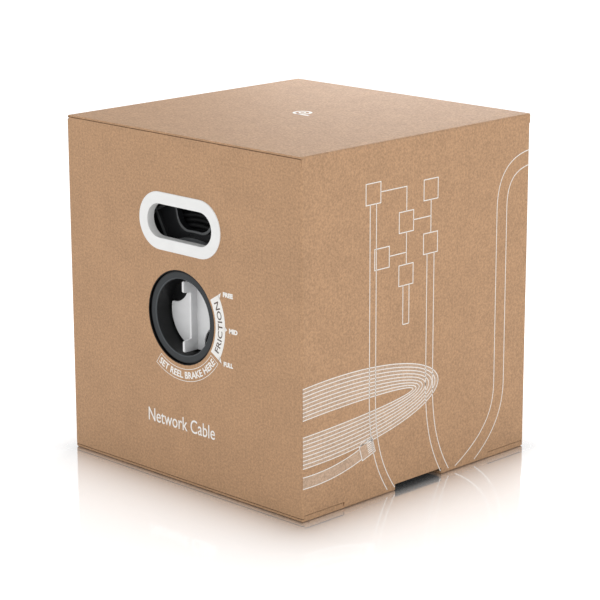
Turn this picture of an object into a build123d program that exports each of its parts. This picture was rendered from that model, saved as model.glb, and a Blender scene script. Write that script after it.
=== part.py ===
"""Cable spool box: a die-cut corrugated carton that holds a spool of data cable on two plastic stub axles.

The front stub axle is a cup with a recessed knob, which sets the drag of a friction brake on the spool.
Millimetres, +Z up, origin at the bottom centre of the carton. The front wall faces -Y and the lid
hinges on the right wall, at +X. "Depth" is the distance behind the outer face of the front wall.
Parts of the rear axle are mirror images of the front ones.
"""
import os
from math import cos, radians, sin, tan

from build123d import *

# ---- Carton -------------------------------------------------------------------------------------
WIDTH = 350.0            # X, outside
LENGTH = 344.0           # Y, outside
HEIGHT = 369.0           # Z, to the top of the lid
BOARD = 3.0              # B-flute board
CORNER_R = 2.0           # outside radius of a fold
WALL_TOP = HEIGHT - BOARD
FRONT = -LENGTH / 2
FIT_GAP = 0.6            # free play of a loose board beside a wall

FLAP_DEPTH = 88.0        # dust flaps, front to back
FLAP_TAPER = 44.0        # how much narrower each end is at the free edge
FLAP_SHOULDER = 9.0      # end of a dust flap to the side of the box, where its taper starts
TUCK_DEPTH = 40.0
TUCK_HALF_WIDTH = 136.0      # of the lid's tuck flap, clear of the corners
BASE_TUCK_HALF_WIDTH = 160.0
TUCK_CORNER_R = 14.0
TUCK_LEAN = 4.5          # degrees inward from vertical
LOCK_HALF_WIDTH = 24.0   # tab of the left wall that locks the lid
LOCK_NOTCH_HALF_WIDTH = 30.0
LID_INSET = 1.8
LEFT_WALL_DROP = 1.5     # the left wall and its tab stop this far short, to let the lid's fold pass
BASE_SLOT_HALF_WIDTH = 36.0
BASE_SLOT_HEIGHT = 7.0
BASE_SLOT_DEPTH = 26.0
BASE_END_CUT = 60.0      # raw-edged ends of the base fold, where a base flap shows between wall and panel
BASE_END_GAP = 0.8
BASE_END_INSET = 0.6
WALL_GAP = 0.8           # between the base panel and the raw lower edges of three walls
SEAM_WIDTH = 36.0        # glued lap of the carton blank
SEAM_BOTTOM, SEAM_TOP = 8.0, 358.0
LINER_HALF_WIDTH = 168.0
LINER_BOTTOM = 6.5
LINER_TOP = 362.0

# ---- Hand holes ---------------------------------------------------------------------------------
HAND_Z = 276.2
HAND_WIDTH, HAND_HEIGHT = 96.3, 35.6
BEZEL_MARGIN = 12.7
BEZEL_PROUD = 1.1
BEZEL_OUTER_EDGE_R = 0.9
BEZEL_INNER_EDGE_R = 0.6
SLEEVE_WALL = 2.0
SLEEVE_GAP = 0.4
SLEEVE_END = 8.1
CLIP_THICKNESS = 1.2
CLIP_MARGIN = 9.0
HOOK_OUT = 1.2           # snap hooks on the sleeve, which hold the clip
HOOK_WIDTH = 10.0
HOOK_AT = 24.0
HOOK_START = 2 * BOARD + CLIP_THICKNESS + 0.1

# ---- Spool axis, brake cup and journal ------------------------------------------------------------
AXIS_Z = 178.5
CUP_HOLE_R = 50.0
RIM_DEPTH = 2.0          # the cup's rim lies this far behind the carton's face
RIM_R = 48.0
LIP_DEPTH = 0.3          # round the rim, beyond a groove, a thin lip lines the hole
LIP_INNER_R, LIP_R = 49.1, 49.7
GROOVE_DEPTH = 5.0
RIM_EDGE = 1.2           # chamfer inside the rim
MOUTH_R = 40.0
FLOOR_DEPTH = 24.0
FLOOR = 3.0
CUP_FLANGE_R = 62.0
STEP_R = 47.0
STEP_END = 47.4
JOURNAL_R = 43.5
JOURNAL_END = 64.0
CAVITY_R = 40.5
KEY_COUNT = 3            # keys of the brake piston, in keyways of the front cup
KEY_WIDTH, KEYWAY_WIDTH = 3.6, 4.0
KEY_INNER, KEY_OUTER, KEYWAY_OUTER = 39.0, 41.7, 42.0
REAR_PLATE_FRONT, REAR_PLATE_BACK = 9.0, 12.0
REAR_RIB_FRONT = 5.0
REAR_BOSS_R, REAR_BOSS_FRONT = 14.0, 4.0

# ---- Knob and brake -------------------------------------------------------------------------------
KNOB_R = 38.0
KNOB_FACE = 21.5
KNOB_BACK = 23.7
KNOB_EDGE_R = 0.6
SCOOP_R = 22.0
SCOOP_AT = 45.3
SCOOP_ANGLE = 138.6
SCOOP_CORNER_R = 2.5
RIB = 3.0
RIB_EDGE_R = 0.6
EAR_DEPTH = 3.0
EAR_OUTER, EAR_INNER = 37.7, 26.0
EAR_CORNER_R = 1.8
RIB_LOW_DEPTH, RIB_LOW_HALF = 13.0, 24.5
SHAFT_R = 7.0
SHAFT_FLATS = 10.0
SHAFT_GAP = 0.4
SHAFT_END = 43.6
KNOB_TURN = 63.0         # degrees, from no drag to full drag
PAD_TRAVEL = 1.9
CAM_FRONT, CAM_DISC_BACK, CAM_HUB_BACK = 27.4, 31.0, 44.0
CAM_HUB_R = 12.0
CAM_LOW_DEPTH = 33.0
RAMP_INNER, RAMP_OUTER = 20.0, 30.0
RAMP_LEAD = 8.0          # degrees of ramp beyond each end of the knob's turn
STUD_ANGLES = (0, 180)
STUD_R = 3.0
STUD_AT = 25.0
STUD_GAP = 0.15
WASHER_R, WASHER_BORE = 10.0, 2.6
WASHER_FRONT, WASHER_BACK = 44.1, 45.1
SCREW_R, SCREW_BORE = 2.05, 2.1
SCREW_START, SCREW_BORE_START = 32.0, 30.0
SCREW_HEAD_R, SCREW_HEAD_FRONT, SCREW_HEAD_BACK = 5.0, 45.2, 48.2
PISTON_R, PISTON_BORE = 39.8, 15.0
PISTON_FRONT, PISTON_FLANGE_BACK = 42.0, 45.0
PISTON_TUBE_R, PISTON_TUBE_BORE = 34.0, 31.0
PLATE_R, PLATE_BORE = 35.0, 16.0
PLATE_FRONT, PLATE_BACK = 61.0, 64.4
PAD_R, PAD_BORE, PAD_THICKNESS = 34.5, 18.0, 2.5
SPRING_WIRE_R, SPRING_COIL_R = 0.8, 37.3
SPRING_TURNS, SPRING_PITCH = 3, 4.4
SPRING_FRONT = 46.0
RETAINER_R, RETAINER_BORE = 40.4, 35.6
RETAINER_FRONT, RETAINER_BACK = 60.2, 62.2
OVERLAP = 0.5            # how far one feature reaches into the feature that it joins

# ---- Spool ----------------------------------------------------------------------------------------
FLANGE_R = 162.0
FLANGE_FRONT = 20.0
FLANGE_BACK = 28.0
WEB = 3.0
RIM_WIDTH = 7.0
BOSS_R = 80.0
RIB_RING_OUTER, RIB_RING_INNER = 119.0, 116.6
SPOOL_RIB = 2.6
LOW_RIB_DROP = 1.0       # how far the ring and the window lips stop short of the ribs' height
CORE_R, CORE_BORE = 60.0, 57.0
WINDING_R = 129.0
WINDING_GAP = 0.2
HUB_FRONT = FLANGE_FRONT - 3.0
HUB_R = CORE_BORE - 0.2
HUB_WALL = 3.0
HUB_PLATE_R, HUB_MOUTH_R = 76.0, 48.5
HUB_MOUTH_END = 48.0
HUB_BORE = JOURNAL_R + 2.6
HUB_END = 88.0
BRAKE_FACE, BRAKE_FACE_BACK = 69.0, 72.0
BRAKE_FACE_BORE = 14.0
BUSH_FRONT, BUSH_BACK = 48.1, 64.1
BUSH_OUTER, BUSH_BORE = JOURNAL_R + 2.55, JOURNAL_R + 0.05
HUB_SCREW_AT = 68.0
HUB_SCREWS = 6
HUB_SCREW_R, HUB_SCREW_PILOT_R, HUB_SCREW_HOLE_R = 1.95, 2.0, 2.3
HUB_SCREW_HEAD_R, HUB_SCREW_HEAD = 4.0, 2.2
FLANGE_SECTORS = 6
WINDOW_INNER, WINDOW_OUTER = 88.0, 148.0
WINDOW_HALF_ANGLE = 14.0
WINDOW_CORNER_R = 17.0
WINDOW_LIP, WINDOW_LIP_ANGLE = 2.2, 1.2


def y_at(depth):
    return FRONT + depth


def face_plane(depth, z=AXIS_Z, x=0.0):
    """A plane parallel to the front wall whose sketch X and Y are the box's X and Z."""
    return Plane(origin=(x, y_at(depth), z), x_dir=(1, 0, 0), z_dir=(0, -1, 0))


def slab(sketch, start, end, z=AXIS_Z, x=0.0):
    """The sketch as a solid from depth start back to depth end."""
    return extrude(face_plane(end, z, x) * sketch, end - start)


def disc(radius, start, end):
    return slab(Circle(radius), start, end)


def ring(outer, inner, start, end):
    return slab(Circle(outer) - Circle(inner), start, end)


def turned(points):
    """A solid of revolution about the spool axis; points are (radius, depth)."""
    section = Plane(origin=(0, FRONT, AXIS_Z), x_dir=(1, 0, 0), z_dir=(0, 0, 1))
    outline = make_face(section * Polyline(*points, close=True))
    return revolve(outline, Axis((0, 0, AXIS_Z), (0, 1, 0)))


def around(shape, angle):
    """The shape turned about the spool axis, counter-clockwise as seen from the front."""
    return shape.rotate(Axis((0, 0, AXIS_Z), (0, -1, 0)), angle)


def to_rear(shape):
    return mirror(shape, about=Plane.XZ)


def block(x0, x1, y0, y1, z0, z1):
    return Pos((x0 + x1) / 2, (y0 + y1) / 2, (z0 + z1) / 2) * Box(x1 - x0, y1 - y0, z1 - z0)


# ---- Carton pieces --------------------------------------------------------------------------------
def wall_sleeve():
    """The four walls, one folded board with a glued lap, with the holes for the axle cups and hands."""
    inner_w, inner_l = WIDTH - 2 * BOARD, LENGTH - 2 * BOARD
    outline = RectangleRounded(WIDTH, LENGTH, CORNER_R) - Rectangle(inner_w, inner_l)
    body = extrude(Plane.XY.offset(BOARD) * outline, WALL_TOP - BOARD)
    body += block(WIDTH / 2 - 2 * BOARD, WIDTH / 2 - BOARD, inner_l / 2 - SEAM_WIDTH, inner_l / 2,
                  SEAM_BOTTOM, SEAM_TOP)
    body -= block(-WIDTH / 2, -inner_w / 2, -LENGTH / 2, LENGTH / 2, WALL_TOP - LEFT_WALL_DROP, WALL_TOP)
    body += block(-WIDTH / 2, -inner_w / 2, -LOCK_HALF_WIDTH, LOCK_HALF_WIDTH,
                  WALL_TOP - LEFT_WALL_DROP, HEIGHT - LEFT_WALL_DROP)
    for side in (-1, 1):
        mid = side * (LENGTH - BOARD) / 2
        body -= block(-inner_w / 2, inner_w / 2, mid - BOARD / 2, mid + BOARD / 2,
                      WALL_TOP - BOARD, WALL_TOP)
        body -= block(-WIDTH / 2, WIDTH / 2, mid - BOARD / 2, mid + BOARD / 2, BOARD, BOARD + WALL_GAP)
        raw_mid = side * (inner_l + BOARD - BASE_END_CUT) / 2
        raw_half = (BASE_END_CUT - BOARD) / 2
        body -= block(WIDTH / 2 - BOARD, WIDTH / 2, raw_mid - raw_half, raw_mid + raw_half,
                      BOARD, 2 * BOARD + BASE_END_GAP)
    body -= block(-WIDTH / 2, -inner_w / 2, -LENGTH / 2, LENGTH / 2, BOARD, BOARD + WALL_GAP)
    body -= block(WIDTH / 2 - BOARD, WIDTH / 2, -BASE_SLOT_HALF_WIDTH, BASE_SLOT_HALF_WIDTH,
                  BOARD, BASE_SLOT_HEIGHT)
    body -= slab(Circle(CUP_HOLE_R), 0, LENGTH)
    body -= slab(hand_slot(SLEEVE_WALL + SLEEVE_GAP), 0, LENGTH, HAND_Z)
    return body


def wall_liner():
    """The board glued behind the front wall, which shares the load of the axle cup."""
    mid = (LINER_BOTTOM + LINER_TOP) / 2
    sheet = slab(Rectangle(2 * LINER_HALF_WIDTH, LINER_TOP - LINER_BOTTOM), BOARD, 2 * BOARD, mid)
    sheet -= slab(Circle(CUP_HOLE_R), BOARD, 2 * BOARD)
    return sheet - slab(hand_slot(SLEEVE_WALL + SLEEVE_GAP), BOARD, 2 * BOARD, HAND_Z)


def lid_panel():
    """Folds from the right wall; the fold to its tuck flap lies just inside the left wall's outer face."""
    tuck_fold_x = -WIDTH / 2 + LID_INSET
    lid = block(tuck_fold_x, WIDTH / 2, -LENGTH / 2, LENGTH / 2, WALL_TOP, HEIGHT)
    folds = lid.edges().filter_by(Axis.Y).group_by(Axis.Z)[-1]
    lid = fillet(folds, CORNER_R)
    notch_end = -WIDTH / 2 + BOARD + FIT_GAP
    return lid - block(-WIDTH / 2, notch_end, -LOCK_NOTCH_HALF_WIDTH, LOCK_NOTCH_HALF_WIDTH,
                       WALL_TOP, HEIGHT)


def tuck_hinge_x():
    return -WIDTH / 2 + 2 * BOARD + FIT_GAP


def tuck_outline(half_width, depth):
    """A flap outline with rounded free corners, hanging below the sketch's X axis."""
    flap = Pos(0, -depth / 2) * Rectangle(2 * half_width, depth)
    return fillet(flap.vertices().group_by(Axis.Y)[0], TUCK_CORNER_R)


def lid_tuck_flap():
    """Hangs from the lid inside the left wall and leans in, so that it clears the wall as the lid lifts."""
    plane = Plane(origin=(tuck_hinge_x(), 0, WALL_TOP), x_dir=(0, 1, 0), z_dir=(1, 0, 0))
    flap = extrude(plane * tuck_outline(TUCK_HALF_WIDTH, TUCK_DEPTH), -BOARD)
    return flap.rotate(Axis((tuck_hinge_x(), 0, WALL_TOP), (0, 1, 0)), -TUCK_LEAN)


def base_tuck_flap():
    plane = Plane(origin=(tuck_hinge_x(), 0, BOARD), x_dir=(0, 1, 0), z_dir=(1, 0, 0))
    flap = mirror(tuck_outline(BASE_TUCK_HALF_WIDTH, TUCK_DEPTH), about=Plane.XZ)
    return extrude(plane * flap, -BOARD)


def flap_outline(length):
    """A dust flap: its fold lies on the sketch's X axis, and its free edge is narrower than the fold."""
    fold_half = WIDTH / 2 - BOARD - FIT_GAP
    half = WIDTH / 2 - FLAP_SHOULDER
    side = [(fold_half, 0), (fold_half, BOARD), (half, BOARD), (half - FLAP_TAPER, length)]
    return make_face(Polyline(*side, *[(-x, y) for x, y in reversed(side)], close=True))


def top_front_flap():
    fold = Plane(origin=(0, FRONT, WALL_TOP - BOARD))
    return extrude(fold * flap_outline(FLAP_DEPTH), BOARD)


def base_front_flap():
    """Lies on the base panel; its right end reaches out under the right wall's cut-away edge."""
    fold = Plane(origin=(0, FRONT + BOARD, BOARD))
    flap = extrude(fold * flap_outline(FLAP_DEPTH), BOARD)
    return flap + block(WIDTH / 2 - FLAP_SHOULDER - FLAP_TAPER, WIDTH / 2 - BASE_END_INSET,
                        FRONT + BOARD, FRONT + BASE_END_CUT - BASE_END_GAP, BOARD, 2 * BOARD)


def base_panel():
    """Folds up from the right wall, with a slot in the fold and raw edges at both ends of it."""
    panel = extrude(RectangleRounded(WIDTH, LENGTH, CORNER_R), BOARD)
    right = WIDTH / 2
    fold = panel.edges().filter_by(Axis.Y).group_by(Axis.X)[-1].sort_by(Axis.Z)[0]
    panel = fillet(fold, CORNER_R)
    for side in (-1, 1):
        mid = side * (LENGTH - BASE_END_CUT) / 2
        panel -= block(right - BASE_END_INSET, right, mid - BASE_END_CUT / 2, mid + BASE_END_CUT / 2,
                       0, BOARD)
    return panel - block(right - BASE_SLOT_DEPTH, right, -BASE_SLOT_HALF_WIDTH, BASE_SLOT_HALF_WIDTH,
                         0, BOARD)


# ---- Hand-hole grommet ----------------------------------------------------------------------------
def hand_slot(margin):
    """The outline of the hand opening, grown by a margin all round."""
    return SlotOverall(HAND_WIDTH + 2 * margin, HAND_HEIGHT + 2 * margin)


def hand_bezel():
    """The outer half of the grommet: a rounded flange and the sleeve that lines the hole."""
    flange = slab(hand_slot(BEZEL_MARGIN), -BEZEL_PROUD, 0, HAND_Z)
    flange = fillet(flange.edges().group_by(Axis.Y)[0], BEZEL_OUTER_EDGE_R)
    bezel = flange + slab(hand_slot(SLEEVE_WALL), -BEZEL_PROUD / 2, SLEEVE_END, HAND_Z)
    bezel -= slab(hand_slot(0), -BEZEL_PROUD, SLEEVE_END, HAND_Z)
    bezel = fillet([e for e in bezel.edges() if on_opening_edge(e.center())], BEZEL_INNER_EDGE_R)
    for x in (-HOOK_AT, HOOK_AT):
        for side in (-1, 1):
            mid = HAND_Z + side * (HAND_HEIGHT / 2 + SLEEVE_WALL + HOOK_OUT / 2)
            bezel += slab(Rectangle(HOOK_WIDTH, HOOK_OUT), HOOK_START, SLEEVE_END, mid, x)
    return bezel


def on_opening_edge(centre):
    """Whether an edge with this centre runs round the opening in the bezel's front face."""
    near = 0.1
    return (abs(centre.Y - y_at(-BEZEL_PROUD)) < near and abs(centre.X) < HAND_WIDTH / 2
            and abs(centre.Z - HAND_Z) < HAND_HEIGHT / 2 + near)


def hand_clip():
    """The inner ring that snaps over the sleeve and holds the bezel to the two boards."""
    outline = hand_slot(CLIP_MARGIN) - hand_slot(SLEEVE_WALL + SLEEVE_GAP / 2)
    return slab(outline, 2 * BOARD, 2 * BOARD + CLIP_THICKNESS, HAND_Z)


# ---- Axle cups ------------------------------------------------------------------------------------
def cup_outer_points():
    """The outside of an axle cup, from its rim to the end of the journal."""
    return [(RIM_R, RIM_DEPTH), (RIM_R, GROOVE_DEPTH), (LIP_INNER_R, GROOVE_DEPTH),
            (LIP_INNER_R, LIP_DEPTH), (LIP_R, LIP_DEPTH), (LIP_R, 2 * BOARD),
            (CUP_FLANGE_R, 2 * BOARD), (CUP_FLANGE_R, 3 * BOARD), (STEP_R, 3 * BOARD),
            (STEP_R, STEP_END), (JOURNAL_R, STEP_END), (JOURNAL_R, JOURNAL_END)]


def keyways(inner_r, outer_r, width, start, end):
    """Bars or grooves spaced evenly round the spool axis."""
    bar = slab(Pos((inner_r + outer_r) / 2, 0) * Rectangle(outer_r - inner_r, width), start, end)
    return [around(bar, 90 + i * 360 / KEY_COUNT) for i in range(KEY_COUNT)]


def brake_cup():
    """Front axle: an open cup for the knob, and behind its floor the cavity that holds the brake."""
    floor_end = FLOOR_DEPTH + FLOOR
    shaft_hole = SHAFT_R + SHAFT_GAP
    cup = turned([(MOUTH_R + RIM_EDGE, RIM_DEPTH), *cup_outer_points(), (CAVITY_R, JOURNAL_END),
                  (CAVITY_R, floor_end), (shaft_hole, floor_end), (shaft_hole, FLOOR_DEPTH),
                  (MOUTH_R, FLOOR_DEPTH), (MOUTH_R, RIM_DEPTH + RIM_EDGE)])
    for groove in keyways(CAVITY_R - OVERLAP, KEYWAY_OUTER, KEYWAY_WIDTH, floor_end, JOURNAL_END):
        cup -= groove
    return cup


def rear_cup():
    """Rear axle: the same journal, closed by a ribbed plate in a shallow recess."""
    cup = turned([(MOUTH_R, RIM_DEPTH), *cup_outer_points(), (CAVITY_R, JOURNAL_END),
                  (CAVITY_R, REAR_PLATE_BACK), (0, REAR_PLATE_BACK), (0, REAR_PLATE_FRONT),
                  (MOUTH_R, REAR_PLATE_FRONT)])
    for angle in (0, 60, 120):
        rib = slab(Rectangle(2 * (MOUTH_R + OVERLAP), RIB), REAR_RIB_FRONT, REAR_PLATE_FRONT)
        cup += around(rib, angle)
    cup += disc(REAR_BOSS_R, REAR_BOSS_FRONT, REAR_PLATE_FRONT)
    return to_rear(cup)


# ---- Knob and brake -------------------------------------------------------------------------------
def shaft_outline(clearance=0.0):
    """A round shaft with two flats."""
    flats = Rectangle(4 * SHAFT_R, SHAFT_FLATS + 2 * clearance)
    return Circle(SHAFT_R + clearance) & flats


def cross_slot(width, length):
    return Rectangle(width, length) + Rectangle(length, width)


def knob_disc():
    outline = Circle(KNOB_R)
    for angle in (SCOOP_ANGLE, SCOOP_ANGLE + 180):
        at = (SCOOP_AT * cos(radians(angle)), SCOOP_AT * sin(radians(angle)))
        outline -= Pos(*at) * Circle(SCOOP_R)
    body = slab(fillet(outline.vertices(), SCOOP_CORNER_R), KNOB_FACE, KNOB_BACK)
    return fillet(body.edges().group_by(Axis.Y)[0], KNOB_EDGE_R)


def grip_rib():
    """An upright rib across the knob, low in the middle, whose two ends stand up as ears."""
    side = Plane(origin=(-RIB / 2, FRONT, AXIS_Z), x_dir=(0, 1, 0), z_dir=(1, 0, 0))
    half = [(KNOB_FACE + OVERLAP, EAR_OUTER), (EAR_DEPTH, EAR_OUTER), (EAR_DEPTH, EAR_INNER),
            (RIB_LOW_DEPTH, RIB_LOW_HALF)]
    rib_face = make_face(Polyline(*half, *[(d, -z) for d, z in reversed(half)], close=True))
    corners = [v for v in rib_face.vertices() if v.X < KNOB_FACE]
    rib = extrude(side * fillet(corners, EAR_CORNER_R), RIB)
    return fillet([e for e in rib.edges() if e.center().Y < y_at(KNOB_FACE - OVERLAP)
                   and abs(abs(e.center().X) - RIB / 2) < RIB / 10], RIB_EDGE_R)


def knob():
    """A disc with two finger scoops, a grip rib, and a shaft through the cup's floor."""
    shaft = slab(shaft_outline(), KNOB_BACK - OVERLAP, SHAFT_END)
    return knob_disc() + grip_rib() + shaft - disc(SCREW_BORE, SCREW_BORE_START, SHAFT_END)


def brake_cam():
    """Two ramps on the back of a disc, which push the brake piston back as the knob turns."""
    cam = disc(RAMP_OUTER, CAM_FRONT, CAM_DISC_BACK) + disc(CAM_HUB_R, CAM_FRONT, CAM_HUB_BACK)
    mid_rise = PAD_TRAVEL / 2
    slope = mid_rise / sin(radians(KNOB_TURN / 2)) / STUD_AT
    far = 4 * RAMP_OUTER
    for stud in STUD_ANGLES:
        low, high = stud - RAMP_LEAD, stud + KNOB_TURN + RAMP_LEAD
        corners = [(far * cos(radians(a)), far * sin(radians(a))) for a in (low, (low + high) / 2, high)]
        wedge = make_face(Polyline((0, 0), *corners, close=True))
        sector = (Circle(RAMP_OUTER) - Circle(RAMP_INNER)) & wedge
        ramp = slab(sector, CAM_DISC_BACK - OVERLAP, CAM_LOW_DEPTH + 2 * PAD_TRAVEL)
        middle = radians(stud + KNOB_TURN / 2)
        tilted = Plane(origin=(0, y_at(CAM_LOW_DEPTH + mid_rise), AXIS_Z),
                       z_dir=(slope * sin(middle), 1, -slope * cos(middle)))
        cam += ramp - extrude(tilted * Rectangle(far, far), RAMP_OUTER)
    return cam - slab(shaft_outline(0.1), CAM_FRONT, CAM_HUB_BACK)


def cam_washer():
    return ring(WASHER_R, WASHER_BORE, WASHER_FRONT, WASHER_BACK)


def cam_screw():
    """Holds the cam and its washer to the knob's shaft."""
    slot_width, slot_length, slot_depth = 1.2, 7.0, 1.4
    head = disc(SCREW_HEAD_R, SCREW_HEAD_FRONT, SCREW_HEAD_BACK)
    head -= slab(cross_slot(slot_width, slot_length), SCREW_HEAD_BACK - slot_depth, SCREW_HEAD_BACK)
    return head + disc(SCREW_R, SCREW_START, SCREW_HEAD_FRONT + OVERLAP)


def brake_piston():
    """Slides on keys in the cup's cavity; two domed studs ride on the cam's ramps."""
    piston = ring(PISTON_R, PISTON_BORE, PISTON_FRONT, PISTON_FLANGE_BACK)
    piston += ring(PISTON_TUBE_R, PISTON_TUBE_BORE, PISTON_FLANGE_BACK, PLATE_FRONT)
    piston += ring(PLATE_R, PLATE_BORE, PLATE_FRONT, PLATE_BACK)
    for key in keyways(KEY_INNER, KEY_OUTER, KEY_WIDTH, PISTON_FRONT, PISTON_FLANGE_BACK):
        piston += key
    dome_centre = CAM_LOW_DEPTH + STUD_GAP + STUD_R
    for angle in STUD_ANGLES:
        stud = slab(Pos(STUD_AT, 0) * Circle(STUD_R), dome_centre, PISTON_FRONT + OVERLAP)
        stud += Pos(STUD_AT, y_at(dome_centre), AXIS_Z) * Sphere(STUD_R)
        piston += around(stud, angle)
    return piston


def brake_pad():
    return ring(PAD_R, PAD_BORE, PLATE_BACK, PLATE_BACK + PAD_THICKNESS)


def return_spring():
    """Pushes the piston forward, away from the spool."""
    path = Helix(SPRING_PITCH, SPRING_PITCH * SPRING_TURNS, SPRING_COIL_R)
    section = Plane(origin=path @ 0, z_dir=path % 0) * Circle(SPRING_WIRE_R)
    place = Plane(origin=(0, y_at(SPRING_FRONT), AXIS_Z), x_dir=(1, 0, 0), z_dir=(0, 1, 0))
    return place.location * sweep(section, path=path)


def spring_retainer():
    return ring(RETAINER_R, RETAINER_BORE, RETAINER_FRONT, RETAINER_BACK)


# ---- Spool ----------------------------------------------------------------------------------------
def window_outline(margin, half_angle):
    """A window between two radii and two radial edges, grown by a margin, on the sketch's X axis."""
    outer_r = WINDOW_OUTER + margin
    far = 2 * outer_r
    reach = far * tan(radians(half_angle))
    wedge = make_face(Polyline((0, 0), (far, reach), (far, -reach), close=True))
    window = (Circle(outer_r) - Circle(WINDOW_INNER - margin)) & wedge
    return fillet(window.vertices(), WINDOW_CORNER_R)


def hub_screw_angles():
    """The screws stand a quarter of their spacing away from the flange's ribs."""
    return [(i + 0.25) * 360 / HUB_SCREWS for i in range(HUB_SCREWS)]


def spool_flange():
    """Moulded flange: rim, boss, stiffening ribs on the outside and six windows in the web."""
    rim_inner = FLANGE_R - RIM_WIDTH
    web_front, low_front = FLANGE_BACK - WEB, FLANGE_FRONT + LOW_RIB_DROP
    flange = ring(FLANGE_R, CORE_BORE, web_front, FLANGE_BACK)
    flange += ring(FLANGE_R, rim_inner, FLANGE_FRONT, FLANGE_BACK)
    flange += ring(BOSS_R, CORE_BORE, FLANGE_FRONT, FLANGE_BACK)
    flange += ring(RIB_RING_OUTER, RIB_RING_INNER, low_front, web_front)
    step = 360 / FLANGE_SECTORS
    rib_outline = Rectangle(rim_inner - BOSS_R + 2 * OVERLAP, SPOOL_RIB)
    rib = slab(Pos((BOSS_R + rim_inner) / 2, 0) * rib_outline, FLANGE_FRONT, web_front)
    window = slab(window_outline(0, WINDOW_HALF_ANGLE), FLANGE_FRONT, FLANGE_BACK)
    lip = slab(window_outline(WINDOW_LIP, WINDOW_HALF_ANGLE + WINDOW_LIP_ANGLE), low_front, web_front)
    pilot = slab(Pos(HUB_SCREW_AT, 0) * Circle(HUB_SCREW_PILOT_R), FLANGE_FRONT, FLANGE_BACK - 1)
    for i in range(FLANGE_SECTORS):
        flange += around(rib, i * step)
        flange += around(lip, (i + 0.5) * step)
    for i in range(FLANGE_SECTORS):
        flange -= around(window, (i + 0.5) * step)
    for angle in hub_screw_angles():
        flange -= around(pilot, angle)
    return flange


def spool_hub():
    """Plugs into the core, is screwed to the flange, holds the bush and carries the brake face."""
    hub = turned([(HUB_MOUTH_R, HUB_FRONT), (HUB_PLATE_R, HUB_FRONT), (HUB_PLATE_R, FLANGE_FRONT),
                  (HUB_R, FLANGE_FRONT), (HUB_R, HUB_END), (HUB_R - HUB_WALL, HUB_END),
                  (HUB_R - HUB_WALL, BRAKE_FACE_BACK), (BRAKE_FACE_BORE, BRAKE_FACE_BACK),
                  (BRAKE_FACE_BORE, BRAKE_FACE), (HUB_BORE, BRAKE_FACE), (HUB_BORE, HUB_MOUTH_END),
                  (HUB_MOUTH_R, HUB_MOUTH_END)])
    hole = slab(Pos(HUB_SCREW_AT, 0) * Circle(HUB_SCREW_HOLE_R), HUB_FRONT, FLANGE_FRONT)
    for angle in hub_screw_angles():
        hub -= around(hole, angle)
    return hub


def hub_bush():
    return ring(BUSH_OUTER, BUSH_BORE, BUSH_FRONT, BUSH_BACK)


def hub_screws():
    """Six pan-head screws from the hub into the flange."""
    slot_width, slot_length, slot_depth = 1.0, 5.0, 1.2
    head_front = HUB_FRONT - HUB_SCREW_HEAD
    centre = Pos(HUB_SCREW_AT, 0)
    head = slab(centre * Circle(HUB_SCREW_HEAD_R), head_front, HUB_FRONT)
    head -= slab(centre * cross_slot(slot_width, slot_length), head_front, head_front + slot_depth)
    screw = head + slab(centre * Circle(HUB_SCREW_R), HUB_FRONT - OVERLAP, FLANGE_BACK - 2)
    return Compound(children=[around(screw, angle) for angle in hub_screw_angles()])


def core_tube():
    return ring(CORE_R, CORE_BORE, FLANGE_BACK, LENGTH - FLANGE_BACK)


def cable_winding():
    """The outer shape of the wound cable."""
    return ring(WINDING_R, CORE_R + WINDING_GAP, FLANGE_BACK + WINDING_GAP,
                LENGTH - FLANGE_BACK - WINDING_GAP)


def build_parts():
    flange, hub, bush, screws = spool_flange(), spool_hub(), hub_bush(), hub_screws()
    liner, bezel, clip = wall_liner(), hand_bezel(), hand_clip()
    top_flap, base_flap = top_front_flap(), base_front_flap()
    return {
        "wall_sleeve": wall_sleeve(),
        "lid_panel": lid_panel(),
        "lid_tuck_flap": lid_tuck_flap(),
        "top_front_flap": top_flap,
        "top_rear_flap": to_rear(top_flap),
        "base_panel": base_panel(),
        "base_tuck_flap": base_tuck_flap(),
        "base_front_flap": base_flap,
        "base_rear_flap": to_rear(base_flap),
        "front_liner": liner,
        "rear_liner": to_rear(liner),
        "front_hand_bezel": bezel,
        "rear_hand_bezel": to_rear(bezel),
        "front_hand_clip": clip,
        "rear_hand_clip": to_rear(clip),
        "brake_cup": brake_cup(),
        "rear_cup": rear_cup(),
        "knob": knob(),
        "brake_cam": brake_cam(),
        "cam_washer": cam_washer(),
        "cam_screw": cam_screw(),
        "brake_piston": brake_piston(),
        "brake_pad": brake_pad(),
        "return_spring": return_spring(),
        "spring_retainer": spring_retainer(),
        "front_flange": flange,
        "rear_flange": to_rear(flange),
        "front_hub": hub,
        "rear_hub": to_rear(hub),
        "front_bush": bush,
        "rear_bush": to_rear(bush),
        "front_hub_screws": screws,
        "rear_hub_screws": to_rear(screws),
        "core_tube": core_tube(),
        "cable_winding": cable_winding(),
    }


os.makedirs("parts", exist_ok=True)
for node, shape in build_parts().items():
    export_step(shape, f"parts/{node}.step")
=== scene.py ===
import math
import random

import bpy
from mathutils import Matrix, Vector


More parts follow.
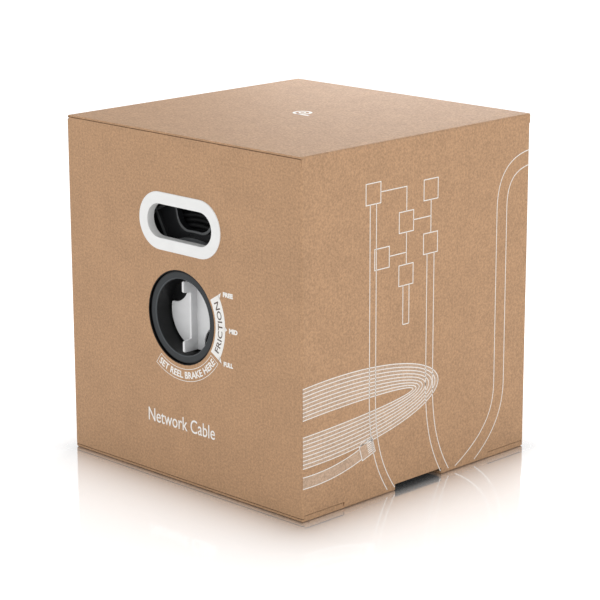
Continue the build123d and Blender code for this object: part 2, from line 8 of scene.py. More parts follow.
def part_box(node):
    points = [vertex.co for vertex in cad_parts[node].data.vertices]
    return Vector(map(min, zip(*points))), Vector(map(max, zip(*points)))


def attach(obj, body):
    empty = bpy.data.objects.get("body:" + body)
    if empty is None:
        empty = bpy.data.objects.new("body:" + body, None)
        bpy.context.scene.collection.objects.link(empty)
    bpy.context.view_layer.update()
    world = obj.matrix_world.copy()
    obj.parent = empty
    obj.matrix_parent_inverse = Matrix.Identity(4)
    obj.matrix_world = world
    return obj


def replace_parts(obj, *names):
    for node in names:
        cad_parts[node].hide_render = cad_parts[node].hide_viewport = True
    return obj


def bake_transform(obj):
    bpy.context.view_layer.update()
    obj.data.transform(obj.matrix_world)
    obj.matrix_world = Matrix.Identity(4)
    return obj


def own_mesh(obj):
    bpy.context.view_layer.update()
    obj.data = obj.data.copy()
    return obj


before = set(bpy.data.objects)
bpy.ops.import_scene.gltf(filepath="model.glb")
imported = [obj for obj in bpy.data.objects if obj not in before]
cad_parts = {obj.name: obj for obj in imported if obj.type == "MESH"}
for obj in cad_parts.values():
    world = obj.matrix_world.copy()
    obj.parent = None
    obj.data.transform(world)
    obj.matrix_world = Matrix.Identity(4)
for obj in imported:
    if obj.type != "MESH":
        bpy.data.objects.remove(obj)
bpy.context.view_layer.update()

MM = 0.001
UP = Vector((0, 0, 1))

# ---- The box's faces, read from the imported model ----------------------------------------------
wall_low, wall_high = (Vector(corner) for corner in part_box("wall_sleeve"))
lid_low, lid_high = (Vector(corner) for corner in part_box("lid_panel"))
FRONT_Y, BACK_Y = wall_low.y, wall_high.y
LEFT_X, RIGHT_X = wall_low.x, wall_high.x
TOP_Z = lid_high.z
LID_UNDER_Z = lid_low.z
BOARD = TOP_Z - LID_UNDER_Z
knob_low, knob_high = (Vector(corner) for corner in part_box("knob"))
AXIS_Z = (knob_low.z + knob_high.z) / 2
FLUTE_PITCH = 6.4 * MM
LINER = 0.35 * MM
MEDIUM = 1.45 * MM

scene = bpy.context.scene
random.seed(7)


# ---- Camera -------------------------------------------------------------------------------------
CAMERA_AZIMUTH, CAMERA_ELEVATION, CAMERA_ROLL = 44.79, 14.51, -0.17
CAMERA_PLACE = (1.6426, -1.6532, 0.7686)
SENSOR_WIDTH, LENS = 36.0, 133.6


def add_camera():
    azimuth, elevation, roll = (math.radians(a) for a in (CAMERA_AZIMUTH, CAMERA_ELEVATION, CAMERA_ROLL))
    data = bpy.data.cameras.new("camera")
    data.sensor_width = SENSOR_WIDTH
    data.lens = LENS
    data.clip_end = 50.0
    camera = bpy.data.objects.new("camera", data)
    scene.collection.objects.link(camera)
    back = Vector((math.sin(azimuth) * math.cos(elevation), -math.cos(azimuth) * math.cos(elevation),
                   math.sin(elevation)))
    right = UP.cross(back).normalized()
    turn = Matrix((right, back.cross(right), back)).transposed()
    turn = turn @ Matrix.Rotation(roll, 3, "Z")
    camera.matrix_world = Matrix.Translation(CAMERA_PLACE) @ turn.to_4x4()
    scene.camera = camera


# ---- Materials ----------------------------------------------------------------------------------
class Shader:
    """A material and short calls that add nodes to it."""

    def __init__(self, name):
        self.material = bpy.data.materials.new(name)
        self.material.use_nodes = True
        self.tree = self.material.node_tree
        self.bsdf = self.tree.nodes["Principled BSDF"]
        self.place = self.node("ShaderNodeTexCoord").outputs["Object"]

    def node(self, kind, inputs=None, **settings):
        made = self.tree.nodes.new(kind)
        for key, value in settings.items():
            setattr(made, key, value)
        for key, value in (inputs or {}).items():
            if isinstance(value, bpy.types.NodeSocket):
                self.tree.links.new(value, made.inputs[key])
            else:
                made.inputs[key].default_value = value
        return made

    def math(self, operation, a, b=0.0, clamp=False):
        return self.node("ShaderNodeMath", {0: a, 1: b}, operation=operation, use_clamp=clamp).outputs[0]

    def noise(self, scale, detail=2.0, rough=0.5, place=None):
        inputs = {"Vector": place or self.place, "Scale": scale, "Detail": detail, "Roughness": rough}
        return self.node("ShaderNodeTexNoise", inputs).outputs["Fac"]

    def stretched(self, x, y, z):
        inputs = {0: self.place, 1: (x, y, z)}
        return self.node("ShaderNodeVectorMath", inputs, operation="MULTIPLY").outputs[0]

    def ramp(self, value, low, high, low_to=0.0, high_to=1.0):
        inputs = {"Value": value, "From Min": low, "From Max": high, "To Min": low_to, "To Max": high_to}
        return self.node("ShaderNodeMapRange", inputs, clamp=True).outputs[0]

    def mix(self, fac, a, b):
        made = self.node("ShaderNodeMix", data_type="RGBA")
        for key, value in ((0, fac), (6, a), (7, b)):
            if isinstance(value, bpy.types.NodeSocket):
                self.tree.links.new(value, made.inputs[key])
            else:
                made.inputs[key].default_value = value
        return made.outputs[2]

    def xyz(self, vector):
        return self.node("ShaderNodeSeparateXYZ", {0: vector}).outputs

    def normal(self):
        return self.xyz(self.node("ShaderNodeNewGeometry").outputs["Normal"])

    def bump(self, height, strength, distance):
        made = self.node("ShaderNodeBump", {"Height": height, "Strength": strength, "Distance": distance})
        self.tree.links.new(made.outputs[0], self.bsdf.inputs["Normal"])

    def set(self, **values):
        for key, value in values.items():
            socket = self.bsdf.inputs[key.replace("_", " ")]
            if isinstance(value, bpy.types.NodeSocket):
                self.tree.links.new(value, socket)
            else:
                socket.default_value = value


def rgb(r, g, b):
    return (r, g, b, 1.0)


def shade(colour, factor):
    return tuple(c * factor for c in colour[:3]) + (1.0,)


KRAFT = rgb(0.445, 0.262, 0.142)


def kraft(name, flutes, colour=KRAFT):
    """Kraft board. flutes is "walls", "x" or "y": the coordinate that steps across the flutes."""
    s = Shader(name)
    grain = s.noise(430, 4.0, 0.74)
    cloud = s.noise(38, 3.0, 0.55)
    fibre_h = s.noise(300, 2.0, 0.5, s.stretched(1, 1, 5))
    fibre_v = s.noise(300, 2.0, 0.5, s.stretched(4, 4, 1))
    flecks = s.math("ADD", s.ramp(fibre_h, 0.68, 0.80), s.ramp(fibre_v, 0.70, 0.82), clamp=True)
    pale = s.ramp(s.noise(1300, 2.0, 0.5, s.stretched(1, 1, 0.3)), 0.66, 0.80)
    x, y, z = s.xyz(s.place)
    nx, ny, nz = s.normal()
    if flutes == "walls":
        across = s.math("ADD", s.math("MULTIPLY", x, s.math("ABSOLUTE", ny)),
                        s.math("MULTIPLY", y, s.math("ABSOLUTE", nx)))
    else:
        across = x if flutes == "x" else y
    flute = s.math("SINE", s.math("MULTIPLY", across, 2 * math.pi / FLUTE_PITCH))
    tone = s.math("ADD", s.ramp(grain, 0.36, 0.64, -0.5, 0.5), s.ramp(cloud, 0.3, 0.7, -0.12, 0.12))
    tone = s.math("ADD", tone, s.math("MULTIPLY", flute, 0.035))
    tone = s.math("ADD", tone, 0.5, clamp=True)
    base = s.mix(tone, shade(colour, 0.80), shade(colour, 1.20))
    base = s.mix(s.math("MULTIPLY", flecks, 0.34), base, shade(colour, 0.55))
    base = s.mix(s.math("MULTIPLY", pale, 0.22), base, rgb(0.62, 0.46, 0.31))
    # Painted shade: on the walls, the cut edges (top and bottom edges, and the edges of the holes in the
    # front and back walls) are coloured darker to stand for the shade inside the open flutes.
    if flutes == "walls":
        rim = s.ramp(s.math("ABSOLUTE", nz), 0.6, 0.9)
        near_end = s.ramp(s.math("ABSOLUTE", y), -FRONT_Y - 1.05 * BOARD, -FRONT_Y - BOARD)
        inside_hole = s.math("MULTIPLY", near_end, s.ramp(s.math("ABSOLUTE", ny), 0.5, 0.3))
        not_side = s.ramp(s.math("ABSOLUTE", x), RIGHT_X - BOARD, RIGHT_X - 1.2 * BOARD)
        raw_edge_shade = s.math("ADD", rim, s.math("MULTIPLY", inside_hole, not_side), clamp=True)
        base = s.mix(raw_edge_shade, base, shade(colour, 0.42))
    rough = s.ramp(grain, 0.3, 0.7, 0.80, 0.62)
    s.set(Base_Color=base, Roughness=rough, Specular_IOR_Level=0.42, Sheen_Weight=0.03,
          Sheen_Roughness=0.45, Sheen_Tint=rgb(1.0, 0.97, 0.94))
    height = s.math("ADD", s.math("MULTIPLY", grain, 0.5), s.math("MULTIPLY", flecks, 0.35))
    height = s.math("ADD", height, s.math("MULTIPLY", flute, 0.12))
    s.bump(height, 0.28, 0.25 * MM)
    return s.material


def plastic(name, colour, rough, texture=2600, variation=0.04, depth=0.02, coat=0.0):
    """Moulded plastic: a fine spark-eroded texture, slight flow marks and scuffed, glossier high spots."""
    s = Shader(name)
    fine = s.noise(texture, 2.0, 0.5)
    flow = s.noise(45, 2.0, 0.5, s.stretched(1, 1, 2.5))
    scuff = s.ramp(s.noise(210, 4.0, 0.7, s.stretched(1, 3, 1)), 0.62, 0.75)
    tone = s.math("ADD", s.math("MULTIPLY", fine, 0.5), s.math("MULTIPLY", flow, 0.5))
    base = s.mix(s.ramp(tone, 0.35, 0.65), shade(colour, 1 - variation), shade(colour, 1 + variation))
    gloss = s.math("ADD", s.ramp(flow, 0.3, 0.7, rough - 0.04, rough + 0.04), s.math("MULTIPLY", scuff, 0.09))
    s.set(Base_Color=base, Roughness=gloss, Specular_IOR_Level=0.5, Coat_Weight=coat)
    s.bump(s.math("ADD", fine, s.math("MULTIPLY", scuff, 0.2)), 0.35, depth * MM)
    return s.material


# The cup's rim lies between its bore and the groove beside the board; its inner edge carries a painted
# highlight and the groove a painted shadow.
CUP_BORE_R, CUP_HIGHLIGHT_R, CUP_GROOVE_R = 40.1 * MM, 41.2 * MM, 46.95 * MM


def cup_plastic():
    """Black plastic with painted light: a painted shadow makes the groove round the rim darkest, and painted
    shade makes the cup's wall darker than the rim.
    """
    s = Shader("cup_plastic")
    x, _, z = s.xyz(s.place)
    z = s.math("SUBTRACT", z, AXIS_Z)
    radius = s.math("SQRT", s.math("ADD", s.math("MULTIPLY", x, x), s.math("MULTIPLY", z, z)))
    fine = s.noise(1900, 2.0, 0.5)
    flow = s.noise(60, 2.0, 0.5)
    rim = s.ramp(radius, CUP_BORE_R, CUP_BORE_R + 0.5 * MM)
    groove = s.ramp(radius, CUP_GROOVE_R, CUP_GROOVE_R + 0.2 * MM)
    painted_highlight = s.math("MULTIPLY", rim, s.ramp(radius, CUP_HIGHLIGHT_R + 0.4 * MM, CUP_HIGHLIGHT_R))
    # painted shade: the cup's wall inside the rim is coloured darker than the rim
    base = s.mix(rim, rgb(0.0060, 0.0062, 0.0065), rgb(0.026, 0.030, 0.033))
    # painted highlight: a paler band along the rim's inner edge
    base = s.mix(s.math("MULTIPLY", painted_highlight, 0.8), base, rgb(0.085, 0.095, 0.102))
    # painted shadow: the groove beside the board is coloured near black
    base = s.mix(groove, base, rgb(0.0012, 0.0012, 0.0012))
    base = s.mix(s.math("MULTIPLY", s.ramp(flow, 0.4, 0.7), 0.12), base, rgb(0.05, 0.052, 0.055))
    s.set(Base_Color=base, Roughness=s.ramp(fine, 0.3, 0.7, 0.30, 0.42), Specular_IOR_Level=0.22)
    s.bump(fine, 0.3, 0.03 * MM)
    return s.material


def spool_plastic():
    """Dark plastic whose outermost faces, the ribs and rims, are coloured paler as a painted highlight."""
    s = Shader("spool_plastic")
    _, y, _ = s.xyz(s.place)
    fine = s.noise(1500, 2.0, 0.5)
    scuff = s.noise(140, 4.0, 0.7, s.stretched(1, 3, 1))
    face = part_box("rear_flange")[1].y
    # painted highlight: faces within about a millimetre of the flanges' outer faces are coloured paler,
    # patchy with the scuff noise
    painted_highlight = s.ramp(s.math("ABSOLUTE", y), face - 1.25 * MM, face - 0.9 * MM)
    base = s.mix(s.ramp(fine, 0.3, 0.7), rgb(0.014, 0.0145, 0.016), rgb(0.019, 0.0195, 0.021))
    base = s.mix(s.math("MULTIPLY", painted_highlight, s.ramp(scuff, 0.3, 0.6, 0.7, 1.0)), base, rgb(0.13, 0.135, 0.14))
    s.set(Base_Color=base, Roughness=s.ramp(scuff, 0.3, 0.7, 0.26, 0.42), Specular_IOR_Level=0.35)
    s.bump(fine, 0.3, 0.03 * MM)
    return s.material


def metal(name, colour, rough):
    s = Shader(name)
    brush = s.noise(900, 3.0, 0.6, s.stretched(1, 8, 1))
    spots = s.ramp(s.noise(160, 4.0, 0.6), 0.55, 0.75)
    base = s.mix(s.math("MULTIPLY", spots, 0.35), colour, shade(colour, 0.7))
    s.set(Base_Color=base, Metallic=1.0, Roughness=s.ramp(brush, 0.3, 0.7, rough - 0.08, rough + 0.1))
    s.bump(brush, 0.2, 0.02 * MM)
    return s.material


def ink(name, colour, cover):
    """Flexographic ink on kraft: the board's grain shows through as pinholes and uneven cover."""
    s = Shader(name)
    grain = s.noise(820, 3.0, 0.62)
    pinholes = s.ramp(s.noise(1500, 2.0, 0.5), 0.28, 0.36)
    cloud = s.noise(90, 2.0)
    amount = s.math("MULTIPLY", s.ramp(grain, 0.25, 0.6, cover - 0.10, cover + 0.04), pinholes)
    amount = s.math("ADD", amount, s.ramp(cloud, 0.3, 0.7, -0.03, 0.03), clamp=True)
    s.set(Base_Color=s.mix(amount, KRAFT, colour), Roughness=s.ramp(grain, 0.3, 0.7, 0.62, 0.5),
          Specular_IOR_Level=0.4)
    s.bump(grain, 0.2, 0.15 * MM)
    return s.material


def jacket_material():
    s = Shader("cable_jacket")
    fine = s.noise(1400, 3.0, 0.6)
    scuff = s.ramp(s.noise(120, 4.0, 0.65), 0.5, 0.7)
    base = s.mix(scuff, rgb(0.0045, 0.0045, 0.005), rgb(0.010, 0.0105, 0.012))
    s.set(Base_Color=base, Roughness=s.ramp(fine, 0.3, 0.7, 0.46, 0.62), Specular_IOR_Level=0.15)
    s.bump(fine, 0.25, 0.03 * MM)
    return s.material


def make_materials():
    white = plastic("white_plastic", rgb(0.80, 0.80, 0.79), 0.32, coat=0.15)
    return {
        "walls": kraft("kraft_walls", "walls"),
        "lid": kraft("kraft_lid", "y"),
        "flap": kraft("kraft_flap", "x"),
        "inner": kraft("kraft_inner", "x", shade(KRAFT, 0.86)),
        "core": kraft("kraft_core", "y", shade(KRAFT, 0.78)),
        "tint": kraft("kraft_tint", "walls", rgb(0.52, 0.36, 0.25)),
        "white": white,
        "knob": plastic("light_plastic", rgb(0.74, 0.745, 0.75), 0.34, coat=0.1),
        "black": plastic("black_plastic", rgb(0.010, 0.011, 0.013), 0.30, 1900, depth=0.03, variation=0.15),
        "cup": cup_plastic(),
        "spool": spool_plastic(),
        "acetal": plastic("acetal", rgb(0.78, 0.77, 0.72), 0.4),
        "rubber": plastic("friction_rubber", rgb(0.04, 0.036, 0.033), 0.85, 700, depth=0.15, variation=0.3),
        "spring": metal("spring_steel", rgb(0.52, 0.53, 0.55), 0.3),
        "zinc": metal("zinc_steel", rgb(0.62, 0.63, 0.66), 0.34),
        "jacket": jacket_material(),
        "ink": ink("white_ink", rgb(0.86, 0.85, 0.82), 0.97),
        "line": ink("white_line_ink", rgb(0.84, 0.82, 0.78), 0.93),
        "dark ink": ink("dark_ink", rgb(0.055, 0.045, 0.040), 0.88),
    }


def dress_cad(mats):
    """Gives every CAD node that stays visible its procedural material."""
    chosen = {
        "wall_sleeve": "walls", "base_panel": "lid", "base_tuck_flap": "lid", "base_front_flap": "flap",
        "base_rear_flap": "flap", "front_liner": "inner", "rear_liner": "inner", "core_tube": "core",
        "front_hand_bezel": "white", "rear_hand_bezel": "white", "front_hand_clip": "white",
        "rear_hand_clip": "white", "knob": "knob", "brake_cup": "cup", "rear_cup": "cup",
        "spring_retainer": "black", "brake_cam": "acetal", "brake_piston": "acetal", "front_bush": "acetal",
        "rear_bush": "acetal", "brake_pad": "rubber", "return_spring": "spring", "cam_washer": "zinc",
        "cam_screw": "zinc", "front_hub_screws": "zinc", "rear_hub_screws": "zinc", "front_flange": "spool",
        "rear_flange": "spool", "front_hub": "spool", "rear_hub": "spool", "lid_panel": "lid",
        "lid_tuck_flap": "lid", "top_front_flap": "flap", "top_rear_flap": "flap", "cable_winding": "jacket",
    }
    for node, key in chosen.items():
        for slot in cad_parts[node].material_slots:
            slot.material = mats[key]


# ---- Mesh helpers -------------------------------------------------------------------------------
def mesh_object(name, verts, faces, material, body):
    mesh = bpy.data.meshes.new(name)
    mesh.from_pydata([tuple(v) for v in verts], [], faces)
    mesh.validate()
    mesh.update()
    mesh.materials.append(material)
    obj = bpy.data.objects.new(name, mesh)
    scene.collection.objects.link(obj)
    if body:
        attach(obj, body)
    return obj


class Builder:
    """Collects closed prisms into one mesh."""

    def __init__(self, to_world):
        self.to_world = to_world
        self.verts, self.faces = [], []

    def prism(self, outline, low, high):
        """A prism on a flat outline of (u, v) points, from height low to high."""
        start, count = len(self.verts), len(outline)
        for height in (low, high):
            self.verts += [self.to_world(u, v, height) for u, v in outline]
        self.faces.append([start + i for i in reversed(range(count))])
        self.faces.append([start + count + i for i in range(count)])
        for i in range(count):
            j = (i + 1) % count
            self.faces.append([start + i, start + j, start + count + j, start + count + i])

    def strip(self, left, right, low, high, closed=False):
        """A band between two rows of points, as one closed solid."""
        start, count = len(self.verts), len(left)
        for height in (low, high):
            for row in (left, right):
                self.verts += [self.to_world(u, v, height) for u, v in row]
        a, b, c, d = (start + k * count for k in range(4))
        for i in range(count if closed else count - 1):
            j = (i + 1) % count
            self.faces += [[a + i, a + j, b + j, b + i], [c + i, d + i, d + j, c + j],
                           [a + i, c + i, c + j, a + j], [b + i, b + j, d + j, d + i]]
        if not closed:
            for i, flip in ((0, False), (count - 1, True)):
                cap = [a + i, b + i, d + i, c + i]
                self.faces.append(cap[::-1] if flip else cap)

    def stroke(self, points, width, low, high, closed=False):
        """A line of even width along flat points, with mitred corners."""
        pts = [Vector(p) for p in points]
        count = len(pts)
        left, right = [], []
        for i, p in enumerate(pts):
            before = pts[i - 1] if (i or closed) else None
            after = pts[(i + 1) % count] if (i < count - 1 or closed) else None
            a = (p - before).normalized() if before is not None else None
            b = (after - p).normalized() if after is not None else None
            a, b = a or b, b or a
            normal = Vector((-(a.y + b.y), a.x + b.x)).normalized()
            reach = width / 2 / max(0.35, normal.dot(Vector((-a.y, a.x))))
            left.append(p + normal * reach)
            right.append(p - normal * reach)
        self.strip(left, right, low, high, closed)

    def text(self, string, cap, width, place, low, high, weight=0.0):
        """Lettering of a given height and width, each point put by place(x, y) on the flat face."""
        curve = bpy.data.curves.new("lettering", "FONT")
        curve.body = string
        curve.size = cap
        curve.offset = weight
        curve.extrude = 1.0
        curve.resolution_u = 4
        holder = bpy.data.objects.new("lettering", curve)
        scene.collection.objects.link(holder)
        bpy.context.view_layer.update()
        mesh = bpy.data.meshes.new_from_object(holder.evaluated_get(bpy.context.evaluated_depsgraph_get()))
        start = len(self.verts)
        left, right = (pick(vert.co.x for vert in mesh.vertices) for pick in (min, max))
        stretch, rise = width / (right - left), cap / max(vert.co.y for vert in mesh.vertices)
        for vert in mesh.vertices:
            u, v = place((vert.co.x - (left + right) / 2) * stretch, vert.co.y * rise)
            self.verts.append(self.to_world(u, v, high if vert.co.z > 0 else low))
        self.faces += [[start + i for i in polygon.vertices] for polygon in mesh.polygons]
        bpy.data.objects.remove(holder)
        bpy.data.curves.remove(curve)
        bpy.data.meshes.remove(mesh)

    def sheet(self, rows):
        """A thin closed sheet; rows of (u, v low, v high, height low, height high)."""
        start = len(self.verts)
        for u, v0, v1, h0, h1 in rows:
            self.verts += [self.to_world(u, v, h) for v, h in ((v0, h0), (v1, h0), (v1, h1), (v0, h1))]
        for i in range(len(rows) - 1):
            a = start + 4 * i
            for j in range(4):
                k = (j + 1) % 4
                self.faces.append([a + j, a + k, a + 4 + k, a + 4 + j])
        last = start + 4 * (len(rows) - 1)
        self.faces += [[start + 3, start + 2, start + 1, start], [last, last + 1, last + 2, last + 3]]

    def fluted(self, outline, thickness, inset=0.2 * MM):
        """The fluted sheet between two liners; its flutes run along v."""
        runs, run = [], []
        step = FLUTE_PITCH / 8
        low, high = min(u for u, _ in outline) + inset, max(u for u, _ in outline) - inset
        middle = thickness / 2
        swing = middle - LINER - MEDIUM / 2
        for i in range(int((high - low) / step) + 1):
            u = low + i * step
            cuts = spans(outline, u)
            if run and len(run[-1][1]) != len(cuts):
                runs.append(run)
                run = []
            run.append((u, cuts))
        for run in runs + [run]:
            for k in range(len(run[0][1])):
                rows = []
                for u, cuts in run:
                    height = middle + swing * math.sin(2 * math.pi * u / FLUTE_PITCH)
                    v0, v1 = cuts[k]
                    rows.append((u, v0 + inset, v1 - inset, height - MEDIUM / 2, height + MEDIUM / 2))
                if len(rows) > 1:
                    self.sheet(rows)

    def board(self, outline, thickness):
        """Corrugated board on a flat outline: two liners and the fluted sheet between them."""
        self.prism(outline, 0, LINER)
        self.prism(outline, thickness - LINER, thickness)
        self.fluted(outline, thickness)

    def finish(self, name, material, body):
        return mesh_object(name, self.verts, self.faces, material, body)


def spans(outline, u):
    """The stretches of v in which the line at u lies inside the outline."""
    cuts = []
    for (u0, v0), (u1, v1) in zip(outline, outline[1:] + outline[:1]):
        if (u0 <= u) != (u1 <= u):
            cuts.append(v0 + (v1 - v0) * (u - u0) / (u1 - u0))
    cuts.sort()
    return list(zip(cuts[::2], cuts[1::2]))


def rounded(outline, corners, radius, steps=6):
    """The outline with the corners at the given places in the list rounded."""
    points = []
    for i, point in enumerate(outline):
        if i not in corners:
            points.append(point)
            continue
        p = Vector(point)
        a = (Vector(outline[i - 1]) - p).normalized() * radius
        b = (Vector(outline[(i + 1) % len(outline)]) - p).normalized() * radius
        for k in range(steps + 1):
            t = math.pi / 2 * k / steps
            points.append(tuple(p + a * (1 - math.sin(t)) + b * (1 - math.cos(t))))
    return points


def on_front(u, v, h):
    """u from the box's left edge and v from its top, in mm, on the front wall."""
    return (LEFT_X + u * MM, FRONT_Y - h, TOP_Z - v * MM)


def on_right(u, v, h):
    """u back from the front edge and v up from the floor, in mm, on the right wall."""
    return (RIGHT_X + h, FRONT_Y + u * MM, v * MM)


def on_top(u, v, h):
    return (u * MM, v * MM, TOP_Z + h)


INK_LOW, INK_HIGH, INK_OVER = -0.10 * MM, 0.05 * MM, 0.09 * MM


# ---- Printing on the front wall -------------------------------------------------------------------
RING_U, RING_V = (0 - LEFT_X) / MM, (TOP_Z - AXIS_Z) / MM


def polar(radius, degrees):
    """A point round the knob's axis, anticlockwise from the right; v grows downwards."""
    angle = math.radians(degrees)
    return (RING_U + radius * math.cos(angle), RING_V - radius * math.sin(angle))


def arc(radius, start, end, steps=48):
    return [polar(radius, start + (end - start) * i / steps) for i in range(steps + 1)]


def print_front(mats):
    white = Builder(on_front)
    band_inner, band_outer, half = 52.0, 66.0, 31.4
    white.strip(arc(band_inner, -half, half), arc(band_outer, -half, half), INK_LOW, INK_HIGH)
    for side in (-1, 1):
        tip = [polar(band_outer - 0.5, side * (half - 4.2)), polar(band_outer - 0.5, side * half),
               polar(70.5, side * (half + 0.2))]
        white.prism(tip, INK_LOW, INK_HIGH)
    tick = [polar(band_outer - 0.3, 2.4), polar(band_outer - 0.3, -2.4), polar(69.0, 0)]
    white.prism(tick, INK_LOW, INK_HIGH)
    for label, width, u, v in (("FREE", 14.4, 238.2, 156.6), ("MID", 12.4, 246.6, 193.0),
                               ("FULL", 13.6, 238.2, 229.2)):
        white.text(label, 4.7, width, lambda x, y, u=u + width / 2, v=v: (u + x, v - y), INK_LOW, INK_HIGH,
                   weight=0.30)
    start, end, inner, outer = -35.0, -125.5, 54.2, 66.8
    outline = arc(inner, start, end) + arc(outer, end, start)
    white.stroke(outline, 0.55, INK_LOW, INK_HIGH, closed=True)
    middle = math.radians(-80.0)
    base_r, cap, width = 63.9, 7.2, 91.0

    def along_banner(x, y):
        return polar(base_r - y, math.degrees(middle + x / (base_r - cap / 2)))

    white.text("SET REEL BRAKE HERE", cap, width, along_banner, INK_LOW, INK_HIGH, weight=0.20)
    white.text("Network Cable", 14.4, 102.0, lambda x, y: (172.8 + x, 311.2 - y), INK_LOW, INK_HIGH,
               weight=0.06)
    white.finish("front_print", mats["ink"], "carton")

    band_word = Builder(on_front)
    band_base, band_cap = 62.0, 6.4

    def along_band(x, y):
        return polar(band_base - y, math.degrees(x / (band_base - band_cap / 2)))

    band_word.text("FRICTION", band_cap, 54.0, along_band, INK_HIGH, INK_OVER, weight=0.08)
    band_word.finish("band_lettering", mats["dark ink"], "carton")


# ---- Lid and flaps --------------------------------------------------------------------------------
FOLD_R = 2.0 * MM
FIT_GAP = 0.6 * MM
NOTCH_HALF = 30.0 * MM
NOTCH_X = LEFT_X + BOARD + FIT_GAP
TUCK_LEAN, TUCK_HALF, TUCK_DEPTH, TUCK_CORNER_R = math.radians(4.5), 136.0 * MM, 40.0 * MM, 14.0 * MM
FLAP_DEPTH, FLAP_TAPER, FLAP_SHOULDER, FLAP_CORNER_R = 88.0 * MM, 44.0 * MM, 9.0 * MM, 8.0 * MM
PAPER = 0.25 * MM
CREASE_PROUD, CREASE_LAP = 0.05 * MM, 7.0 * MM


def fold_arc(centre, start, end, radius, steps=6):
    """Points on an arc in a vertical plane, angles in degrees."""
    angles = [math.radians(start + (end - start) * i / steps) for i in range(steps + 1)]
    return [(centre[0] + radius * math.cos(a), centre[1] + radius * math.sin(a)) for a in angles]


def lid_skin(x_left, round_left, thickness):
    """The top liner's section in X and Z: down the hinge end, and down the other end if it is a fold."""
    r = FOLD_R
    right_end = fold_arc((lid_high.x - r, TOP_Z - r), 90, 0, r)
    outer = right_end + [(lid_high.x, LID_UNDER_Z)]
    inner_end = fold_arc((lid_high.x - r, TOP_Z - r), 90, 0, r - thickness)
    inner = inner_end + [(lid_high.x - thickness, LID_UNDER_Z)]
    if round_left:
        centre = (x_left + r, TOP_Z - r)
        outer = [(x_left, LID_UNDER_Z)] + fold_arc(centre, 180, 90, r) + outer
        inner = [(x_left + thickness, LID_UNDER_Z)] + fold_arc(centre, 180, 90, r - thickness) + inner
    else:
        outer = [(x_left, TOP_Z)] + outer
        inner = [(x_left, TOP_Z - thickness)] + inner
    return outer, inner


def make_lid(mats):
    skin = Builder(lambda x, z, y: (x, y, z))
    bands = ((lid_low.y, -NOTCH_HALF, lid_low.x, True), (-NOTCH_HALF, NOTCH_HALF, NOTCH_X, False),
             (NOTCH_HALF, lid_high.y, lid_low.x, True))
    for y0, y1, x_left, is_fold in bands:
        outer, inner = lid_skin(x_left, is_fold, LINER)
        skin.strip(outer, inner, y0, y1)
    flat = Builder(lambda y, x, h: (x, y, LID_UNDER_Z + h))
    x0, x1 = lid_low.x + LINER, lid_high.x - LINER
    y0, y1 = lid_low.y, lid_high.y
    outline = [(y0, x0), (-NOTCH_HALF, x0), (-NOTCH_HALF, NOTCH_X), (NOTCH_HALF, NOTCH_X),
               (NOTCH_HALF, x0), (y1, x0), (y1, x1), (y0, x1)]
    flat.prism(outline, 0, LINER)
    flat.fluted(outline, BOARD)
    start = len(skin.verts)
    skin.verts += flat.verts
    skin.faces += [[start + i for i in face] for face in flat.faces]
    lid = skin.finish("lid_board", mats["lid"], "lid")
    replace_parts(lid, "lid_panel")


def make_tuck(mats):
    lean, depth, half = TUCK_LEAN, TUCK_DEPTH, TUCK_HALF
    hinge_x = LEFT_X + 2 * BOARD + FIT_GAP

    def hang(y, down, out):
        x = -out * math.cos(lean) + down * math.sin(lean)
        z = -out * math.sin(lean) - down * math.cos(lean)
        return (hinge_x + x, y, LID_UNDER_Z + z)

    outline = [(-half, 0), (half, 0), (half, depth), (-half, depth)]
    flap = Builder(hang)
    flap.board(rounded(outline, (2, 3), TUCK_CORNER_R), BOARD)
    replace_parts(flap.finish("tuck_board", mats["lid"], "tuck"), "lid_tuck_flap")


def make_dust_flaps(mats):
    fold_half, half = RIGHT_X - BOARD - FIT_GAP, RIGHT_X - FLAP_SHOULDER
    side = [(fold_half, 0), (fold_half, BOARD), (half, BOARD), (half - FLAP_TAPER, FLAP_DEPTH)]
    outline = side + [(-x, y) for x, y in reversed(side)]
    low = LID_UNDER_Z - BOARD
    for name, node, body, sign in (("front_dust_board", "top_front_flap", "front_dust_flap", 1),
                                   ("rear_dust_board", "top_rear_flap", "rear_dust_flap", -1)):
        flap = Builder(lambda x, y, h, sign=sign: (x, sign * (FRONT_Y + y), low + h))
        flap.board(rounded(outline, (3, 4), FLAP_CORNER_R), BOARD)
        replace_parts(flap.finish(name, mats["flap"], body), node)


def crease(name, material, profile, low, high, to_world):
    """A narrow sheet of liner paper across a fold."""
    sheet = Builder(to_world)
    sheet.strip(profile, parallel(profile, PAPER), low, high)
    piece = sheet.finish(name, material, None)
    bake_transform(piece)


